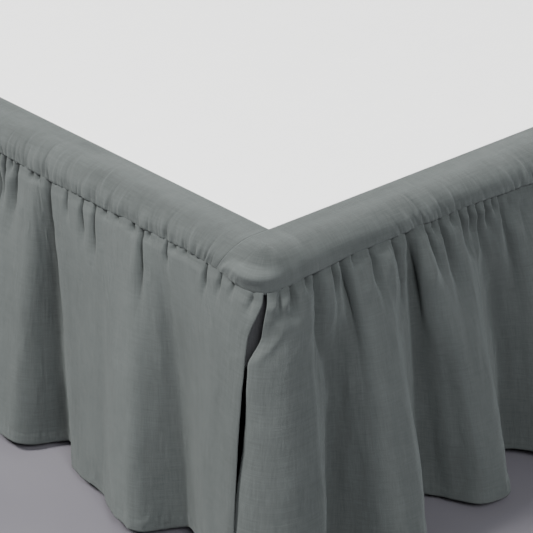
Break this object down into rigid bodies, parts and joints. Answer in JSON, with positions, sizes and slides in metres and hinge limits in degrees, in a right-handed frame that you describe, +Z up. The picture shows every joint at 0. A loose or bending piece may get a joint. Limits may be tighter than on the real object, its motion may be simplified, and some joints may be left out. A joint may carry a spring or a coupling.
{
  "type": "bed skirt on a bed base",
  "caption": "Gathered cloth skirt around three sides of a single bed base, with a flat deck under the mattress, a border band and open corners at the foot.",
  "frame": {"origin": "on the floor under the middle of the object's outer box", "axes": "+Z up, +Y towards the head of the bed, +X to the right seen from the foot"},
  "size_m": [1.1867, 2.0022, 0.4],
  "materials": {
    "linen": "matt washed linen, grey with a little green, slubbed plain weave",
    "cotton": "matt white cotton, plain weave",
    "ticking": "matt off-white upholstery cloth",
    "wood": "satin stained wood"
  },
  "bodies": {
    "root": {"base": "ticking", "leg_foot_right": "wood", "leg_head_right": "wood", "leg_foot_left": "wood", "leg_head_left": "wood", "deck": "cotton", "band_side_right": "linen", "band_side_left": "linen", "band_foot": "linen", "ruffle_side_right": "linen", "ruffle_side_left": "linen", "ruffle_foot": "linen"}
  },
  "joints": []
}
